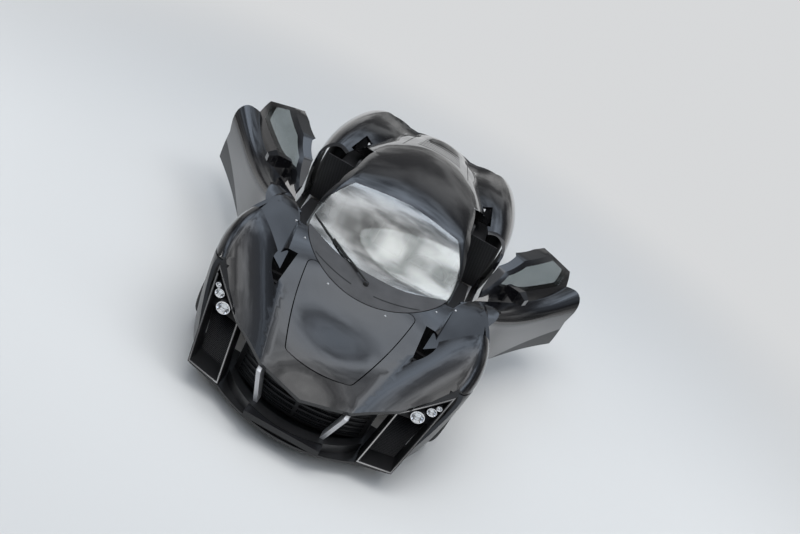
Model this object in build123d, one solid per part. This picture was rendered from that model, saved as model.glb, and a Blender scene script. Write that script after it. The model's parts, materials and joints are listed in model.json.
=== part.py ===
from build123d import *
import math
import os

os.makedirs("parts", exist_ok=True)

# Overall sizes of the car, millimetres, nose towards -Y, left side towards +X
skin = 24
panel_gap = 8
door_thick = 80
frame_thick = 40
glass_thick = 8
seat_gap = 0.4
nose_y = -2330
tail_y = 2300
roof_seam_y = 1100

# Wheels, axles and the parts that carry them
front_axle_y = -1335
rear_axle_y = 1310
front_track_x = 838
rear_track_x = 823
front_tyre = dict(radius=327, width=245, rim=241)
rear_tyre = dict(radius=345, width=300, rim=254)
front_arch_radius = 392
rear_arch_radius = 385
hub_bore = 32
spindle_radius = 25
spindle_end_x = 24
kingpin_inset = 38
kingpin_radius = 14
wishbone_rise = 186
rail_x = 480

# Doors, hung on an upright axis inside their front edge
door_hinge_x = 915
door_hinge_y = -852
door_edge_radius = 46
hinge_pin_radius = 9
hinge_heights = (380, 560)
door_open_deg = 33

# Body sections below the glass, each row one station along the car
body_columns = (
    "y", "sill_x", "sill_z", "side_x", "side_z", "crest_x", "crest_z", "valley_x", "valley_z", "mid_z",
)
body_rows = [
    (nose_y, 470, 130, 540, 330, 480, 410, 270, 400, 385),
    (-2038, 720, 130, 770, 450, 690, 535, 350, 472, 487),
    (-1712, 880, 140, 935, 605, 860, 690, 452, 566, 554),
    (-1405, 940, 150, 1000, 712, 885, 812, 548, 655, 612),
    (-1172, 930, 160, 985, 748, 885, 850, 600, 708, 675),
    (-600, 900, 170, 935, 690, 850, 795, 690, 755, 700),
    (100, 880, 175, 930, 655, 840, 752, 690, 745, 700),
    (700, 910, 175, 968, 720, 800, 842, 640, 785, 740),
    (1300, 940, 185, 1000, 720, 725, 915, 500, 850, 830),
    (1800, 910, 210, 975, 715, 690, 892, 450, 845, 835),
    (tail_y, 820, 260, 895, 680, 640, 830, 420, 805, 795),
]

# Sections of the glasshouse, from the foot of the windscreen to the tail
cabin_columns = ("y", "top_z", "knee_x", "knee_z", "base_x", "base_z")
cabin_rows = [
    (-1180, 600, 470, 575, 580, 480),
    (-900, 738, 545, 712, 670, 540),
    (-600, 896, 590, 846, 735, 580),
    (-300, 1032, 520, 1000, 800, 600),
    (0, 1088, 500, 1040, 815, 600),
    (400, 1100, 490, 1045, 825, 600),
    (900, 1082, 450, 1010, 780, 600),
    (1400, 1015, 390, 945, 680, 600),
    (1850, 935, 360, 870, 620, 600),
    (tail_y, 850, 330, 800, 560, 600),
]


def bow(y, p, q, rise):
    """Arc from p to q in the plane of one station, bulging outward by a share of its chord."""
    dx = q[0] - p[0]
    dz = q[1] - p[1]
    mid_x = (p[0] + q[0]) / 2 + rise * dz
    mid_z = (p[1] + q[1]) / 2 - rise * dx
    return ThreePointArc((p[0], y, p[1]), (mid_x, y, mid_z), (q[0], y, q[1]))


def chain(y, points, rises, top_z):
    """Arcs of one section, right sill to left sill: one half from points and rises, then its mirror image."""
    arcs = [bow(y, p, q, r) for p, q, r in zip(points, points[1:], rises)]
    end = points[-1]
    arcs.append(ThreePointArc((end[0], y, end[1]), (0, y, top_z), (-end[0], y, end[1])))
    flipped = [(-p[0], p[1]) for p in reversed(points)]
    arcs += [bow(y, p, q, r) for p, q, r in zip(flipped, flipped[1:], reversed(rises))]
    return arcs


def body_arcs(r, y, inset, drop):
    points = [
        (r["sill_x"] - inset, r["sill_z"] - drop),
        (r["side_x"] - inset, r["side_z"]),
        (r["crest_x"] - inset * 0.45, r["crest_z"] - inset),
        (r["valley_x"], r["valley_z"] - inset * 1.1),
    ]
    return chain(y, points, [0.03, 0.2, 0.05], r["mid_z"] - inset)


def cabin_arcs(r, y, inset, drop):
    points = [
        (r["base_x"] - inset, r["base_z"] - drop),
        (r["knee_x"] - inset * 0.65, r["knee_z"] - inset * 0.85),
    ]
    return chain(y, points, [0.12], r["top_z"] - inset)


def shell(rows, columns, arcs, thick):
    """Skin of the given thickness, lofted through closed strips along the car."""
    faces = []
    for row in rows:
        r = dict(zip(columns, row))
        outer = arcs(r, r["y"], 0, 0)
        inner = arcs(r, r["y"], thick, 0)
        ends = [Line(outer[0] @ 0, inner[0] @ 0), Line(outer[-1] @ 1, inner[-1] @ 1)]
        faces.append(Face(Wire(outer + inner + ends)))
    return loft(faces)


def full(rows, columns, arcs, inset):
    """Solid inside the sections, drawn in by inset."""
    faces = []
    for row in rows:
        r = dict(zip(columns, row))
        edges = arcs(r, r["y"], inset, 0)
        edges.append(Line(edges[-1] @ 1, edges[0] @ 0))
        faces.append(Face(Wire(edges)))
    return loft(faces)


def plan(points, low=-100, high=1500):
    """Upright prism over a plan outline of straight sides."""
    base = Face(Wire(Polyline(*[(x, y, low) for x, y in points], close=True)))
    return extrude(base, high - low, dir=(0, 0, 1))


def side(points, low=300, high=1200):
    """Prism across the car over a side outline of (y, z) points, on the left side."""
    base = Face(Wire(Polyline(*[(low, y, z) for y, z in points], close=True)))
    return extrude(base, high - low, dir=(1, 0, 0))


def across(points):
    """Prism over a side outline of (y, z) points, right across the car."""
    return side(points, -1300, 1300)


def box(x0, x1, y0, y1, z0, z1):
    return Pos((x0 + x1) / 2, (y0 + y1) / 2, (z0 + z1) / 2) * Box(x1 - x0, y1 - y0, z1 - z0)


def largest(shape):
    return shape.solids().sort_by(SortBy.VOLUME)[-1]


def flip(shape):
    return mirror(shape, Plane.YZ)


def both(shape):
    return Compound([shape, flip(shape)])


# Master shapes that the panels are cut from
body_skin = shell(body_rows, body_columns, body_arcs, skin)
body_door = shell(body_rows, body_columns, body_arcs, door_thick)
cabin_skin = shell(cabin_rows, cabin_columns, cabin_arcs, skin)
cabin_frame = shell(cabin_rows, cabin_columns, cabin_arcs, frame_thick)
cabin_glass = shell(cabin_rows, cabin_columns, cabin_arcs, glass_thick)
cabin_wide = full(cabin_rows, cabin_columns, cabin_arcs, -panel_gap)

body_inside = full(body_rows, body_columns, body_arcs, skin + seat_gap)
cabin_inside = full(cabin_rows, cabin_columns, cabin_arcs, skin + seat_gap)
before_seam = box(-1300, 1300, -2600, roof_seam_y - 4, -200, 1500)
body_open = body_skin - (cabin_wide & before_seam)

# Wheel arches, open through the side
arches = []
for axle_y, radius, tyre, inner_x in (
    (front_axle_y, front_arch_radius, front_tyre, 520),
    (rear_axle_y, rear_arch_radius, rear_tyre, 560),
):
    arch = Pos((inner_x + 1200) / 2, axle_y, tyre["radius"]) * Rot(0, 90, 0) * Cylinder(radius, 1200 - inner_x)
    arches += [arch, flip(arch)]

# Side outlines of the door, of the room its rear tip swings through and of its window, (y, z)
door_outline = [
    (door_hinge_y, 310), (door_hinge_y, 745), (-620, 800), (-330, 950), (-40, 1010), (430, 1026),
    (715, 905), (640, 826), (560, 728), (505, 600), (575, 310),
]
door_tip_room = [(430, 1046), (770, 916), (690, 820), (598, 722), (522, 600), (480, 640), (420, 1000)]
window_outline = [(-440, 862), (-310, 930), (-40, 980), (410, 998), (620, 902), (450, 838), (-60, 835)]


def hinge_barrel(radius, low, high):
    """Upright cylinder about the left door's hinge axis."""
    return Pos(door_hinge_x, door_hinge_y, (low + high) / 2) * Cylinder(radius, high - low)


def hinge_lug(z):
    """Lug at height z that reaches out from the bulkhead, with the pin that the left door turns on."""
    arm = Pos(door_hinge_x, door_hinge_y, z) * Rot(0, 0, 28) * Pos(-43, 0, 0) * Box(86, 16, 40)
    return arm + hinge_barrel(22, z - 20, z + 20) + hinge_barrel(hinge_pin_radius, z - 40, z + 40)


def hinge_notch(z):
    """Room in the left door for the lug at height z and its pin."""
    corner = box(door_hinge_x - 60, door_hinge_x, door_hinge_y - 60, door_hinge_y, z - 25, z + 25)
    pin_hole = hinge_barrel(hinge_pin_radius + seat_gap, z - 45, z + 45)
    return corner + hinge_barrel(28, z - 25, z + 25) + pin_hole


door_face = Face(Wire(Polyline(*[(300, y, z) for y, z in door_outline], close=True)))
door_prism = extrude(door_face, 900, dir=(1, 0, 0)) + hinge_barrel(door_edge_radius, 310, 745)
door_room = offset(door_face, panel_gap, kind=Kind.INTERSECTION)
door_space = extrude(door_room, 900, dir=(1, 0, 0)) + side(door_tip_room)
door_space = door_space + hinge_barrel(door_edge_radius + panel_gap, 310 - panel_gap, 745 + panel_gap)
door_spaces = [door_space, flip(door_space)]


def skirt_prism(grow):
    """Prism over the side outline of the left skirt, its top and ends moved outward by grow."""
    front_y = -945 - grow
    rear_y = 925 + grow
    top_z = 292 + grow
    return side([(front_y, 100), (front_y, top_z), (rear_y, top_z), (rear_y, 100)], 500)


skirt_rooms = [skirt_prism(panel_gap), flip(skirt_prism(panel_gap))]

# Front lid over the luggage bay
cowl_centre_y = -672
cowl_radius = 602
lid_radius = cowl_radius + panel_gap


def lid_prism(grow):
    """Upright prism over the lid's outline, its edge moved outward by grow."""
    rear_radius = lid_radius - grow
    corner_x = 445 + grow
    corner_y = cowl_centre_y - math.sqrt(rear_radius**2 - corner_x**2)
    nose_x = 235 + grow
    edge = [
        ThreePointArc((corner_x, corner_y, 0), (0, cowl_centre_y - rear_radius, 0), (-corner_x, corner_y, 0)),
        ThreePointArc((-corner_x, corner_y, 0), (-365 - grow, -1560, 0), (-nose_x, -1990, 0)),
        ThreePointArc((-nose_x, -1990, 0), (0, -2035 - grow, 0), (nose_x, -1990, 0)),
        ThreePointArc((nose_x, -1990, 0), (365 + grow, -1560, 0), (corner_x, corner_y, 0)),
    ]
    face = Face(Wire(edge))
    return extrude(fillet(face.vertices(), 50 + grow), 1500, dir=(0, 0, 1))


lid_room = lid_prism(panel_gap)
front_lid = body_open & lid_prism(0)

# Cowl between the lid and the windscreen
cowl_face = Face(Wire([
    ThreePointArc(
        (-cowl_radius, cowl_centre_y, 0),
        (0, cowl_centre_y - cowl_radius, 0),
        (cowl_radius, cowl_centre_y, 0),
    ),
    Line((cowl_radius, cowl_centre_y, 0), (cowl_radius, -500, 0)),
    Line((cowl_radius, -500, 0), (-cowl_radius, -500, 0)),
    Line((-cowl_radius, -500, 0), (-cowl_radius, cowl_centre_y, 0)),
]))
cowl_room = extrude(offset(cowl_face, panel_gap), 1500, dir=(0, 0, 1))
cowl_panel = body_open & extrude(cowl_face, 1500, dir=(0, 0, 1))

# Front clamshell: nose, fenders and the vents behind them in one skin
clam_half = plan([
    (0, -2245), (315, -2165), (575, -2030), (760, -1850), (872, -1712), (1100, -1700), (1100, -560), (0, -560),
])
corner_space = side([(-1800, 0), (-1800, 676), (-1712, 668), (-1560, 650), (-1500, 0)], 820)
vent_spots = [(560, -1430), (925, -1190), (900, -870), (640, -740)]
vent_cut_spots = [(600, -1375), (900, -1175), (1050, -1140), (1050, -560), (700, -560)]


def vent_z(x, y):
    """Height of the vent's floor, level with the skin at its tip and deepening towards the outside."""
    return 655 + 0.26 * (x - 555) + 0.13 * (y + 1400)


def vent_prism(spots, rise):
    base = Face(Wire(Polyline(*[(x, y, vent_z(x, y)) for x, y in spots], close=True)))
    return extrude(base, abs(rise), dir=(0, 0, math.copysign(1, rise)))


front_clamshell = body_open & (clam_half + flip(clam_half))
for cut in [lid_room, cowl_room, corner_space, flip(corner_space)] + arches[:2] + door_spaces + skirt_rooms:
    front_clamshell = front_clamshell - cut
vent_cut = vent_prism(vent_cut_spots, 400)
vent_floor = vent_prism(vent_spots, -12) - door_space
front_clamshell = front_clamshell - vent_cut - flip(vent_cut)
front_clamshell = largest(front_clamshell + vent_floor + flip(vent_floor))

# Intake mouths at the front corners, drawn in front view and cut to a slanted face
mouth = [(870, 692), (735, 150), (495, 130), (567, 497)]
mouth_wall = 16
mouth_face = Face(Wire(Polyline(*[(x, -2400, z) for x, z in mouth], close=True)))
mouth_block = extrude(mouth_face, 800, dir=(0, 1, 0))
mouth_hole = extrude(offset(mouth_face, -mouth_wall), 800, dir=(0, 1, 0))
mouth_front = []
for x, low_y, high_y in ((470, -2239, -1900), (1100, -2222, -1596)):
    mouth_front.append(Face(Wire(Polyline(
        (x, -2600, -50), (x, low_y, -50), (x, high_y, 860), (x, -2600, 860), close=True))))
ahead = loft(mouth_front, ruled=True)
intake_frame = ((mouth_block - mouth_hole) & (Pos(0, 150, 0) * ahead)) - ahead
intake_frame = largest(intake_frame - front_clamshell)

# Lower front corners between the mouths and the wheels
corner_prism = side([(-2120, 120), (-2090, 160), (-1712, 660), (-1562, 642), (-1500, 120)], 640)
front_corner = largest((body_skin & corner_prism) - arches[0] - ahead - mouth_block)

# Headlamps: a housing in the top of each mouth with three round lamps
lamp_columns = ("x", "z", "radius", "length")
lamp_rows = [(706, 500, 46, 120), (772, 556, 32, 110), (804, 590, 19, 100)]
housing_face = offset(mouth_face, -mouth_wall - seat_gap)
housing = extrude(housing_face, 800, dir=(0, 1, 0)) & box(400, 1000, -2400, -1500, 440, 700)
housing = (housing & (Pos(0, 148, 0) * ahead)) - (Pos(0, 90, 0) * ahead)
headlamp = housing
for row in lamp_rows:
    lamp = dict(zip(lamp_columns, row))
    front_y = -2239 + (lamp["z"] + 50) * 0.42 + (lamp["x"] - 470) * 0.22 + 90
    barrel = Pos(lamp["x"], front_y - 20, lamp["z"]) * Rot(90, 0, 0) * Cylinder(lamp["radius"], lamp["length"])
    headlamp = headlamp + barrel

# Lower lip with the splitter under it
lip_beam = Face(Wire([
    ThreePointArc((-484, -2048, 118), (0, -2300, 118), (484, -2048, 118)),
    Line((484, -2048, 118), (484, -1970, 118)),
    ThreePointArc((484, -1970, 118), (0, -2220, 118), (-484, -1970, 118)),
    Line((-484, -1970, 118), (-484, -2048, 118)),
]))
splitter = Face(Wire([
    ThreePointArc((-490, -2160, 100), (0, -2317, 100), (490, -2160, 100)),
    Line((490, -2160, 100), (735, -2075, 100)),
    Line((735, -2075, 100), (820, -1745, 100)),
    Line((820, -1745, 100), (-820, -1745, 100)),
    Line((-820, -1745, 100), (-735, -2075, 100)),
    Line((-735, -2075, 100), (-490, -2160, 100)),
]))
front_bumper = extrude(lip_beam, 72, dir=(0, 0, 1)) + extrude(splitter, 18, dir=(0, 0, 1))
for cut in arches[:2]:
    front_bumper = front_bumper - cut

# Grille mesh with its two slanted struts
mesh = Face(Wire([
    ThreePointArc((-470, -2000, 190), (0, -2165, 190), (470, -2000, 190)),
    Line((470, -2000, 190), (470, -1985, 190)),
    ThreePointArc((470, -1985, 190), (0, -2150, 190), (-470, -1985, 190)),
    Line((-470, -1985, 190), (-470, -2000, 190)),
]))
grille = extrude(mesh, 205, dir=(0, 0, 1))
for z in range(206, 380, 38):
    slot = box(12, 440, -2300, -1900, z, z + 24)
    grille = grille - slot - flip(slot)
strut_points = [(222, 190), (250, 190), (324, 420), (296, 420)]
strut = Face(Wire(Polyline(*[(x, -2205, z) for x, z in strut_points], close=True)))
strut = extrude(strut, 110, dir=(0, 1, 0)) & (body_inside + box(200, 400, -2300, -2000, 0, 402))
grille = grille + strut + flip(strut)
plate_strip = box(-262, 262, -2317, -2230, 140, 182) - front_bumper

# Windscreen, bonded in its frame
screen_points = [(-610, -840), (-620, -600), (-462, -300), (0, -245), (462, -300), (620, -600), (610, -840)]
screen_edge = [Line((*p, 0), (*q, 0)) for p, q in zip(screen_points, screen_points[1:])]
screen_foot = ThreePointArc((610, -840, 0), (0, -1090, 0), (-610, -840, 0))
screen_face = Face(Wire(screen_edge + [screen_foot]))
windscreen = cabin_glass & extrude(screen_face, 1500, dir=(0, 0, 1))

# Roof shell with its pillars
roof_shell = cabin_skin & before_seam
screen_room = extrude(offset(screen_face, seat_gap, kind=Kind.INTERSECTION), 1500, dir=(0, 0, 1))
pillar_foot = across([(-1250, 0), (-1250, 1500), (-598, 1500), (-598, 774), (-540, 790), (-540, 0)])
roof_foot = across([(500, 0), (500, 905), (765, 905), (900, 800), (1120, 805), (1120, 0)])
for cut in [screen_room, pillar_foot, roof_foot] + door_spaces:
    roof_shell = roof_shell - cut

# Engine cover, hinged along the roof seam
def cover_prism(grow):
    """Upright prism over the cover's outline, its edge moved outward by grow."""
    front_x = 350 + grow
    rear_x = 285 + grow
    front_y = roof_seam_y - grow
    rear_y = 2060 + grow
    return plan([(-front_x, front_y), (front_x, front_y), (rear_x, rear_y), (-rear_x, rear_y)], 700)


engine_cover = cabin_skin & cover_prism(0)
for row in range(6):
    slat_y = 1340 + 105 * row
    slat_x = 235 - 8 * row
    engine_cover = engine_cover - box(-slat_x, slat_x, slat_y, slat_y + 34, 700, 1200)

# Rear clamshell: haunches, flanks of the tail and the deck
intake_hole = plan([(600, 770), (735, 770), (690, 1120), (560, 1060)], 500)
tail_half = across([(roof_seam_y, 2000), (roof_seam_y, 815), (tail_y, 790), (tail_y + 50, 2000)])
rear_clamshell = (body_open & box(-1300, 1300, 500, 2600, 0, 1500)) + (cabin_skin & tail_half)
for cut in [cover_prism(panel_gap), intake_hole, flip(intake_hole)] + arches[2:] + door_spaces + skirt_rooms:
    rear_clamshell = rear_clamshell - cut
rear_clamshell = largest(rear_clamshell)

# Side skirts under the doors
sill_x = 840
skirt = (body_skin & skirt_prism(0)) - arches[0] - arches[2]
skirt = skirt + box(sill_x + seat_gap, 874, -300, 400, 186, 198)

# Doors, drawn shut and then swung open about their front edge
door_hinge = Axis((door_hinge_x, door_hinge_y, 0), (0, 0, 1))
door_low = body_door & door_prism
door_low = door_low - plan([(0, -900), (640, -900), (735, -300), (755, 100), (700, 760), (0, 760)])
door_top = (cabin_frame & door_prism) - box(0, 1300, -1000, 800, 0, 725)
door_top = door_top - plan([
    (0, -900), (660, -900), (655, -620), (600, -560), (480, -300), (430, 0), (430, 800), (0, 800),
])
door_shut = (door_low + door_top) - side(window_outline)
for z in hinge_heights:
    door_shut = door_shut - hinge_notch(z)
glass_face = Face(Wire(Polyline(*[(300, y, z) for y, z in window_outline], close=True)))
glass_shut = cabin_glass & extrude(offset(glass_face, -seat_gap), 900, dir=(1, 0, 0))
mirror_shut = loft([
    Pos(705, -400, 895) * Rot(0, 90, 0) * Rectangle(60, 50),
    Pos(840, -410, 905) * Rot(0, 90, 0) * Rectangle(110, 90),
    Pos(905, -405, 900) * Rot(0, 90, 0) * Rectangle(50, 60),
], ruled=True)
mirror_shut = largest(mirror_shut + box(690, 740, -425, -385, 780, 905) - door_shut)
door_left = door_shut.rotate(door_hinge, -door_open_deg)
door_glass_left = glass_shut.rotate(door_hinge, -door_open_deg)
mirror_left = mirror_shut.rotate(door_hinge, -door_open_deg)

# Tub: floor, door hinges, sills and bulkheads round the cabin, and the rails at both ends
fascia_y = 2240
bulkhead_y = 700
tub = box(-690, 690, -905, bulkhead_y, 110, 150)
for x0, x1, y0, y1, z0, z1 in (
    (-sill_x, -690, -830, 600, 110, 285),
    (690, sill_x, -830, 600, 110, 285),
    (-850, 850, -905, -875, 150, 615),
    (-560, 560, 655, bulkhead_y, 150, 880),
    (-480, -380, -1960, -905, 200, 300),
    (380, 480, -1960, -905, 200, 300),
    (-480, 480, -1960, -1920, 200, 380),
    (-480, -400, 700, 2235, 400, 470),
    (400, 480, 700, 2235, 400, 470),
    (-480, 480, 2195, fascia_y - seat_gap, 460, 640),
    (-760, -400, 690, 1130, 690, 702),
    (400, 760, 690, 1130, 690, 702),
    (-740, -400, 1118, 1130, 702, 785),
    (400, 740, 1118, 1130, 702, 785),
    (-340, -300, 690, 1140, 840, 880),
    (300, 340, 690, 1140, 840, 880),
    (-880, -560, 640, 660, 285, 735),
    (560, 880, 640, 660, 285, 735),
):
    tub = tub + box(x0, x1, y0, y1, z0, z1)
for axle_y, tyre in ((front_axle_y, front_tyre), (rear_axle_y, rear_tyre)):
    reach = wishbone_rise + 15
    post = box(400, rail_x, axle_y - 120, axle_y + 120, tyre["radius"] - reach, tyre["radius"] + reach)
    tub = tub + post + flip(post)
roof_beam = box(-340, 340, 1060, 1140, 840, 1100) & cabin_inside
under_skin = Pos(0, 0, -seat_gap) * body_inside
tail_post = box(420, 460, 2150, 2230, 440, 900) & under_skin
duct_wall = box(645, 740, 1118, 1130, 780, 920) & under_skin
tub = tub + roof_beam
for upright in (tail_post, duct_wall):
    tub = tub + upright + flip(upright)
for z in hinge_heights:
    tub = tub + hinge_lug(z) + flip(hinge_lug(z))

# Luggage bay, its rim close under the lid, the clamshell and the cowl
bay_x = 380 - seat_gap
luggage_bay = box(-bay_x, bay_x, -1920 + seat_gap, -1130, 210, 800) - box(-365, 365, -1905, -1144, 222, 900)
luggage_bay = luggage_bay & body_inside

# Engine and gearbox as one plain block
engine_block = box(-330, 330, bulkhead_y + seat_gap, 1450, 190, 720) + box(-190, 190, 1450, 2000, 250, 520)

# Seats: a pan and back between raised bolsters
seat_columns = ("x", "width", "raised")
seat_rows = [(130, 75, 50), (205, 320, 0), (525, 75, 50)]
seat_slices = []
for row in seat_rows:
    part = dict(zip(seat_columns, row))
    up = part["raised"]
    low = 150 + seat_gap
    outline = [(-180, low), (420, low), (610, 850), (520, 860), (300 - up, 320 + up), (-190, 300 + up)]
    seat_slices.append(side(outline, part["x"], part["x"] + part["width"]))
seat = seat_slices[0] + seat_slices[1] + seat_slices[2]

# Dashboard with the console between the seats
dashboard = side([(-700, 480), (-740, 640), (-520, 730), (-470, 700), (-560, 480)], -600, 600)
dashboard = dashboard + box(-90, 90, -700, -520, 150, 600) + box(-90, 90, -520, 100, 150, 320)


def revolve_x(points):
    """Solid of revolution about the X axis through (x, radius) points."""
    return revolve(Face(Wire(Polyline(*[(x, 0, r) for x, r in points], close=True))), Axis.X)


# Steering wheel and column
grip = [(15 * math.cos(k * math.pi / 3), 165 + 15 * math.sin(k * math.pi / 3)) for k in range(6)]
steering_wheel = Rot(0, 90, 0) * revolve_x(grip) + Cylinder(45, 40) + Box(320, 24, 14)
column_radius = 22
column_place = Pos(0, 0, 130)
steering_wheel = steering_wheel + column_place * Cylinder(column_radius, 260)
wheel_place = Pos(365, -330, 650) * Rot(115, 0, 0)
steering_wheel = wheel_place * steering_wheel
dashboard = dashboard - wheel_place * column_place * Cylinder(column_radius + seat_gap, 262)

# Tail: dark panel with round lamps, diffuser and exhaust
tail_panel = Face(Wire(Polyline(
    (-790, fascia_y, 470), (790, fascia_y, 470), (845, fascia_y, 680),
    (610, fascia_y, 760), (-610, fascia_y, 760), (-845, fascia_y, 680), close=True)))
rear_fascia = extrude(tail_panel, 20, dir=(0, 1, 0))
lamp_spots = [x * flank for flank in (-1, 1) for x in (420, 555, 690)]
lamp_y = fascia_y + 32.5 + seat_gap
tail_lamps = Compound([Pos(x, lamp_y, 655) * Rot(90, 0, 0) * Cylinder(54, 25) for x in lamp_spots])
diffuser = across([(1800, 150), (2317, 300), (2317, 312), (1800, 162)]) & box(-760, 760, 1700, 2400, 0, 500)
for x in (-600, -360, -120, 120, 360, 600):
    diffuser = diffuser + side([(1900, 184), (2310, 303), (2310, 205), (2200, 165)], x - 5, x + 5)
pipes = []
for x in (-85, 85):
    pipe = Pos(x, 2150, 400) * Rot(90, 0, 0) * (Cylinder(50, 290) - Cylinder(45, 300))
    pipes.append(pipe)
stay = box(430, 450, 2100, 2180, 240, 400 - seat_gap)
diffuser = diffuser + stay + flip(stay)
exhaust = pipes[0] + pipes[1] + box(-45, 45, 2000.5, 2080, 380, 420)


# Wheels: a tyre on a rim with ten spokes, its brake disc and its hub
def tyre_shape(size):
    bead_x = size["width"] / 2 - 4
    tread_x = size["width"] / 2 - 18
    return revolve_x([
        (-bead_x, size["rim"]), (-tread_x, size["radius"]), (tread_x, size["radius"]), (bead_x, size["rim"]),
    ])


def rim_shape(size):
    half = size["width"] / 2 - 16
    rim = size["rim"] - seat_gap
    face_x = half - 40
    wheel = revolve_x([(-half, rim), (half, rim), (half, rim - 22), (half - 30, rim - 30), (-half, rim - 20)])
    wheel = wheel + Pos(face_x, 0, 0) * Rot(0, 90, 0) * Cylinder(72, 44)
    for turn in range(10):
        spoke = Pos(face_x, 0, (rim + 40) / 2) * Box(26, 24, rim - 60)
        wheel = wheel + Rot(36 * turn, 0, 0) * spoke
    disc = Rot(0, 90, 0) * Cylinder(172, 30)
    hub = Pos(face_x / 2, 0, 0) * Rot(0, 90, 0) * Cylinder(60, face_x)
    spindle_bore = Rot(0, 90, 0) * Cylinder(spindle_radius + seat_gap, 600)
    lock_bore = Pos(spindle_end_x + 150, 0, 0) * Rot(0, 90, 0) * Cylinder(hub_bore, 300)
    return wheel + disc + hub - spindle_bore - lock_bore


front_hub = Pos(front_track_x, front_axle_y, front_tyre["radius"])
rear_hub = Pos(rear_track_x, rear_axle_y, rear_tyre["radius"])
front_tyre_left = front_hub * tyre_shape(front_tyre)
rear_tyre_left = rear_hub * tyre_shape(rear_tyre)
front_rim_left = front_hub * rim_shape(front_tyre)
rear_rim_left = rear_hub * rim_shape(rear_tyre)

# Front knuckles that turn on their kingpins, and like uprights at the rear that do not
spindle = Pos(-30, 0, 0) * Rot(0, 90, 0) * Cylinder(spindle_radius, 100)
knuckle = box(-100, -70, -55, 55, -150, 150) + spindle
caliper = box(-100, 44, 110, 200, -65, 65) & Rot(0, 90, 0) * Cylinder(198, 300)
caliper = caliper - Rot(0, 90, 0) * Cylinder(180, 46)
knuckle = knuckle + caliper + box(-95, -72, 40, 125, -40, 40)
kingpin = Pos(-kingpin_inset, 0, 0) * Cylinder(kingpin_radius, 2 * wishbone_rise + 18)
knuckle = knuckle + kingpin
for low in (-wishbone_rise + 12, wishbone_rise - 34):
    knuckle = knuckle + box(-100, -kingpin_inset + 18, -18, 18, low, low + 22)
knuckle_left = front_hub * knuckle
upright_left = rear_hub * knuckle

# Wishbones from the rails to the kingpins
wishbones = []
for track_x, axle_y, tyre in (
    (front_track_x, front_axle_y, front_tyre), (rear_track_x, rear_axle_y, rear_tyre),
):
    pin_x = track_x - kingpin_inset
    eye = Cylinder(kingpin_radius + seat_gap + 14, 18)
    bore = Cylinder(kingpin_radius + seat_gap, 40)
    for height in (tyre["radius"] - wishbone_rise, tyre["radius"] + wishbone_rise):
        arm = Pos(pin_x, axle_y, height) * eye
        for flank in (-1, 1):
            leg = [(rail_x + seat_gap, 84), (rail_x + seat_gap, 56), (pin_x, 4), (pin_x, 30)]
            arm = arm + plan([(x, axle_y + flank * y) for x, y in leg], height - 9, height + 9)
        wishbones.append(arm - Pos(pin_x, axle_y, height) * bore)
suspension_links = Compound(wishbones + [flip(arm) for arm in wishbones])

pieces = dict(
    tub=tub, luggage_bay=luggage_bay, engine_block=engine_block, front_clamshell=front_clamshell,
    front_lid=front_lid, cowl_panel=cowl_panel, front_bumper=front_bumper, grille=grille,
    plate_strip=plate_strip,
    front_corner_left=front_corner, front_corner_right=flip(front_corner),
    intake_frame_left=intake_frame, intake_frame_right=flip(intake_frame),
    headlamp_left=headlamp, headlamp_right=flip(headlamp),
    windscreen=windscreen, roof_shell=roof_shell, engine_cover=engine_cover, rear_clamshell=rear_clamshell,
    side_skirt_left=skirt, side_skirt_right=flip(skirt), rear_fascia=rear_fascia, tail_lamps=tail_lamps,
    diffuser=diffuser, exhaust=exhaust,
    door_left=door_left, door_right=flip(door_left), door_glass_left=door_glass_left,
    door_glass_right=flip(door_glass_left), mirror_left=mirror_left, mirror_right=flip(mirror_left),
    seats=both(seat), dashboard=dashboard, steering_wheel=steering_wheel,
    front_tyre_left=front_tyre_left, front_tyre_right=flip(front_tyre_left),
    rear_tyre_left=rear_tyre_left, rear_tyre_right=flip(rear_tyre_left),
    front_rim_left=front_rim_left, front_rim_right=flip(front_rim_left),
    rear_rim_left=rear_rim_left, rear_rim_right=flip(rear_rim_left),
    knuckle_left=knuckle_left, knuckle_right=flip(knuckle_left),
    rear_uprights=both(upright_left), suspension_links=suspension_links,
)
for name, shape in pieces.items():
    export_step(shape, f"parts/{name}.step")
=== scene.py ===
import json
import math

import bpy
from mathutils import Matrix, Vector
from mathutils.bvhtree import BVHTree

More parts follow.
